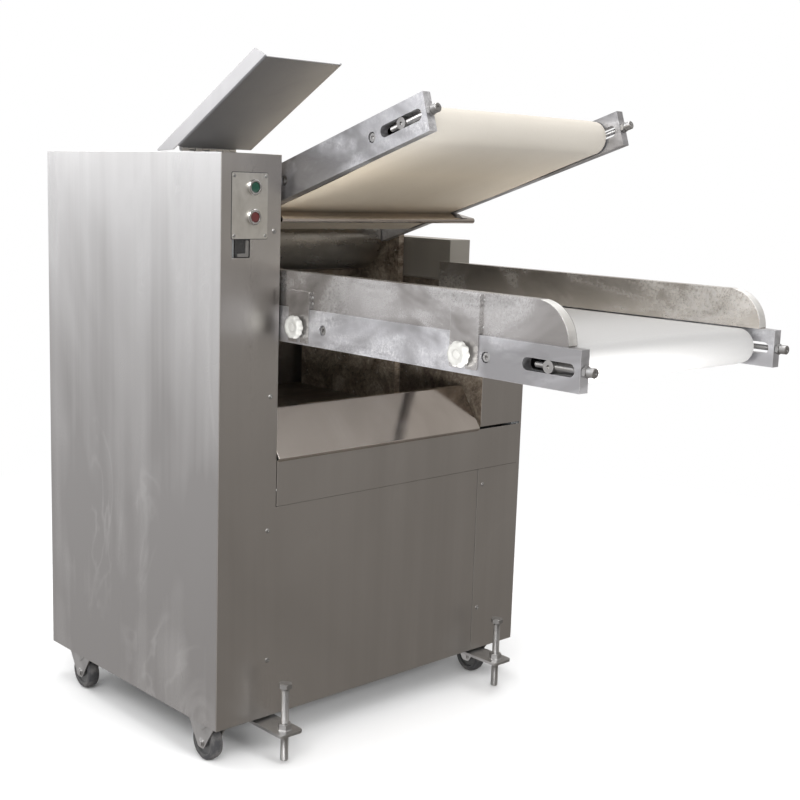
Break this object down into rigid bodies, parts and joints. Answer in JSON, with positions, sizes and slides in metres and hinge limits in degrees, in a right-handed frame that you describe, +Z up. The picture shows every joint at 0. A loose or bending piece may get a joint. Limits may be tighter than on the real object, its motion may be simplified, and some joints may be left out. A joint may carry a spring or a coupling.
{
  "type": "dough sheeter",
  "caption": "Free-standing bakery dough sheeter: steel cabinet with two press rollers, a sloping feed conveyor above and a level outfeed conveyor in front, on fixed casters.",
  "frame": {"origin": "middle of the whole machine's box, at floor level", "axes": "+Z up, the front faces -Y, +X to the right of a person who faces the front"},
  "size_m": [0.8544, 1.414, 1.3577],
  "materials": {
    "stainless_side": "brushed, streaked",
    "stainless_front": "satin",
    "tray_polished": "polished",
    "frame_paint": "satin",
    "rail_aluminium": "satin",
    "guard_stainless": "brushed",
    "belt_white": "matt",
    "belt_beige": "matt",
    "roller_chrome": "polished",
    "machined_steel": "machined",
    "cast_housing": "rough",
    "motor_paint": "gloss",
    "drive_rubber": "matt",
    "zinc": "zinc plated",
    "wheel_rubber": "matt",
    "switch_plate": "satin",
    "knob_nylon": "satin",
    "start_green": "gloss",
    "stop_red": "gloss",
    "handwheel_black": "gloss"
  },
  "bodies": {
    "cabinet": {"base_frame": "frame_paint", "left_side_panel": "stainless_side", "front_cover": "stainless_front", "right_side_panel": "stainless_side", "back_panel": "stainless_side", "catch_tray": "tray_polished", "bay_liner": "stainless_front", "right_bearing_cover": "stainless_front", "rear_roller_hood": "stainless_front", "feed_plate": "tray_polished", "finger_guard": "tray_polished", "roller_scrapers": "tray_polished", "fixing_screws": "machined_steel", "frame_plates": "frame_paint", "roller_bearings": "cast_housing", "gear_motor": "motor_paint", "drive_belts": "drive_rubber", "lower_rails": "rail_aluminium", "upper_rails": "rail_aluminium", "lower_bed": "guard_stainless", "upper_bed": "guard_stainless", "lid_hinge": "machined_steel", "control_plate": "switch_plate", "caster_forks": "zinc", "jack_brackets": "zinc", "lower_belt": "belt_white", "upper_belt": "belt_beige"},
    "gear_lid": {"gear_lid": "tray_polished"},
    "start_button": {"start_button": "start_green"},
    "stop_button": {"stop_button": "stop_red"},
    "left_jack_bolt": {"left_jack_bolt": "zinc"},
    "right_jack_bolt": {"right_jack_bolt": "zinc"},
    "front_roller": {"front_press_roller": "roller_chrome", "front_roller_drive": "machined_steel"},
    "rear_slide": {"rear_bearing_blocks": "cast_housing"},
    "rear_roller": {"rear_press_roller": "roller_chrome", "rear_roller_gear": "machined_steel"},
    "gap_handwheel": {"gap_handwheel": "handwheel_black"},
    "counter_shaft": {"counter_shaft": "machined_steel"},
    "motor_pulley": {"motor_pulley": "machined_steel"},
    "lower_drive": {"lower_drive_roller": "roller_chrome"},
    "upper_drive": {"upper_drive_roller": "roller_chrome"},
    "lower_takeup": {"lower_tail_shaft": "machined_steel"},
    "upper_takeup": {"upper_tail_shaft": "machined_steel"},
    "lower_tail": {"lower_tail_roller": "roller_chrome"},
    "upper_tail": {"upper_tail_roller": "roller_chrome"},
    "left_guard": {"left_guard": "guard_stainless"},
    "right_guard": {"right_guard": "guard_stainless"},
    "front_left_wheel": {"front_left_wheel": "wheel_rubber"},
    "front_right_wheel": {"front_right_wheel": "wheel_rubber"},
    "rear_left_wheel": {"rear_left_wheel": "wheel_rubber"},
    "rear_right_wheel": {"rear_right_wheel": "wheel_rubber"},
    "left_front_knob": {"left_front_knob": "knob_nylon"},
    "left_rear_knob": {"left_rear_knob": "knob_nylon"},
    "lower_left_tension_bolt": {"lower_left_tension_bolt": "machined_steel"},
    "upper_left_tension_bolt": {"upper_left_tension_bolt": "machined_steel"},
    "right_front_knob": {"right_front_knob": "knob_nylon"},
    "right_rear_knob": {"right_rear_knob": "knob_nylon"},
    "lower_right_tension_bolt": {"lower_right_tension_bolt": "machined_steel"},
    "upper_right_tension_bolt": {"upper_right_tension_bolt": "machined_steel"}
  },
  "joints": [
    {"name": "lid_hinge_turn", "type": "hinge", "parent": "cabinet", "child": "gear_lid", "pos_m": [0, 0.179, 1.188], "axis": [1, 0, 0], "range_deg": [-150.4, 0]},
    {"name": "start_button_press", "type": "slide", "parent": "cabinet", "child": "start_button", "axis": [0, 1, 0], "range_m": [0, 0.004]},
    {"name": "stop_button_press", "type": "slide", "parent": "cabinet", "child": "stop_button", "axis": [0, 1, 0], "range_m": [0, 0.004]},
    {"name": "left_jack_travel", "type": "slide", "parent": "cabinet", "child": "left_jack_bolt", "axis": [0, 0, 1], "range_m": [-0.035, 0.045]},
    {"name": "right_jack_travel", "type": "slide", "parent": "cabinet", "child": "right_jack_bolt", "axis": [0, 0, 1], "range_m": [-0.035, 0.045]},
    {"name": "front_roller_spin", "type": "hinge", "parent": "cabinet", "child": "front_roller", "pos_m": [0, 0.423, 1.01], "axis": [1, 0, 0], "continuous": true},
    {"name": "rear_gap_slide", "type": "slide", "parent": "cabinet", "child": "rear_slide", "axis": [0, 1, 0], "range_m": [0, 0.008]},
    {"name": "rear_roller_spin", "type": "hinge", "parent": "rear_slide", "child": "rear_roller", "pos_m": [0, 0.579, 1.01], "axis": [1, 0, 0], "continuous": true},
    {"name": "gap_handwheel_turn", "type": "hinge", "parent": "cabinet", "child": "gap_handwheel", "pos_m": [0, 0.699, 1.105], "axis": [0, -1, 0], "range_deg": [0, 1440]},
    {"name": "counter_shaft_spin", "type": "hinge", "parent": "cabinet", "child": "counter_shaft", "pos_m": [-0.32, 0.423, 0.884], "axis": [1, 0, 0], "continuous": true},
    {"name": "motor_pulley_spin", "type": "hinge", "parent": "cabinet", "child": "motor_pulley", "pos_m": [-0.34, 0.319, 0.33], "axis": [1, 0, 0], "continuous": true},
    {"name": "lower_drive_spin", "type": "hinge", "parent": "cabinet", "child": "lower_drive", "pos_m": [0, 0.609, 0.8665], "axis": [1, 0, 0], "continuous": true},
    {"name": "upper_drive_spin", "type": "hinge", "parent": "cabinet", "child": "upper_drive", "pos_m": [0, 0.259, 1.06772], "axis": [1, 0, 0], "continuous": true},
    {"name": "lower_takeup_slide", "type": "slide", "parent": "cabinet", "child": "lower_takeup", "axis": [0, 1, 0], "range_m": [0, 0.01]},
    {"name": "upper_takeup_slide", "type": "slide", "parent": "cabinet", "child": "upper_takeup", "axis": [0, 0.9511, -0.309], "range_m": [0, 0.01]},
    {"name": "lower_tail_spin", "type": "hinge", "parent": "lower_takeup", "child": "lower_tail", "pos_m": [0, -0.622, 0.8665], "axis": [1, 0, 0], "continuous": true},
    {"name": "upper_tail_spin", "type": "hinge", "parent": "upper_takeup", "child": "upper_tail", "pos_m": [0, -0.262, 1.237], "axis": [1, 0, 0], "continuous": true},
    {"name": "left_guard_lift", "type": "slide", "parent": "cabinet", "child": "left_guard", "axis": [0, 0, 1], "range_m": [0, 0.08]},
    {"name": "right_guard_lift", "type": "slide", "parent": "cabinet", "child": "right_guard", "axis": [0, 0, 1], "range_m": [0, 0.08]},
    {"name": "front_left_wheel_spin", "type": "hinge", "parent": "cabinet", "child": "front_left_wheel", "pos_m": [-0.403, 0.097, 0.0375], "axis": [1, 0, 0], "continuous": true},
    {"name": "front_right_wheel_spin", "type": "hinge", "parent": "cabinet", "child": "front_right_wheel", "pos_m": [0.35, 0.097, 0.0375], "axis": [1, 0, 0], "continuous": true},
    {"name": "rear_left_wheel_spin", "type": "hinge", "parent": "cabinet", "child": "rear_left_wheel", "pos_m": [-0.403, 0.568, 0.0375], "axis": [1, 0, 0], "continuous": true},
    {"name": "rear_right_wheel_spin", "type": "hinge", "parent": "cabinet", "child": "rear_right_wheel", "pos_m": [0.35, 0.568, 0.0375], "axis": [1, 0, 0], "continuous": true},
    {"name": "left_front_knob_turn", "type": "hinge", "parent": "cabinet", "child": "left_front_knob", "pos_m": [-0.295, -0.444, 0.866], "axis": [1, 0, 0], "continuous": true},
    {"name": "left_rear_knob_turn", "type": "hinge", "parent": "cabinet", "child": "left_rear_knob", "pos_m": [-0.295, -0.016, 0.866], "axis": [1, 0, 0], "continuous": true},
    {"name": "lower_left_bolt_turn", "type": "hinge", "parent": "cabinet", "child": "lower_left_tension_bolt", "pos_m": [-0.274, -0.691, 0.8665], "axis": [0, -1, 0], "range_deg": [0, 2400]},
    {"name": "upper_left_bolt_turn", "type": "hinge", "parent": "cabinet", "child": "upper_left_tension_bolt", "pos_m": [-0.263, -0.32857, 1.25863], "axis": [0, -0.9511, 0.309], "range_deg": [0, 2400]},
    {"name": "right_front_knob_turn", "type": "hinge", "parent": "cabinet", "child": "right_front_knob", "pos_m": [0.295, -0.444, 0.866], "axis": [1, 0, 0], "continuous": true},
    {"name": "right_rear_knob_turn", "type": "hinge", "parent": "cabinet", "child": "right_rear_knob", "pos_m": [0.295, -0.016, 0.866], "axis": [1, 0, 0], "continuous": true},
    {"name": "lower_right_bolt_turn", "type": "hinge", "parent": "cabinet", "child": "lower_right_tension_bolt", "pos_m": [0.274, -0.691, 0.8665], "axis": [0, -1, 0], "range_deg": [0, 2400]},
    {"name": "upper_right_bolt_turn", "type": "hinge", "parent": "cabinet", "child": "upper_right_tension_bolt", "pos_m": [0.263, -0.32857, 1.25863], "axis": [0, -0.9511, 0.309], "range_deg": [0, 2400]}
  ],
  "couplings": [
    {"joint": "rear_roller_spin", "follows": "front_roller_spin", "ratio": -1},
    {"joint": "counter_shaft_spin", "follows": "front_roller_spin", "ratio": -1.625},
    {"joint": "motor_pulley_spin", "follows": "front_roller_spin", "ratio": 2.3542},
    {"joint": "lower_drive_spin", "follows": "front_roller_spin", "ratio": -2.2698},
    {"joint": "lower_tail_spin", "follows": "front_roller_spin", "ratio": -2.2698},
    {"joint": "upper_drive_spin", "follows": "front_roller_spin", "ratio": 2.2476},
    {"joint": "upper_tail_spin", "follows": "front_roller_spin", "ratio": 2.2476},
    {"joint": "gap_handwheel_turn", "follows": "rear_gap_slide", "rad_per_m": 3141.6},
    {"joint": "lower_left_bolt_turn", "follows": "lower_takeup_slide", "rad_per_m": 4188.8},
    {"joint": "lower_right_bolt_turn", "follows": "lower_takeup_slide", "rad_per_m": 4188.8},
    {"joint": "upper_left_bolt_turn", "follows": "upper_takeup_slide", "rad_per_m": 4188.8},
    {"joint": "upper_right_bolt_turn", "follows": "upper_takeup_slide", "rad_per_m": 4188.8}
  ]
}
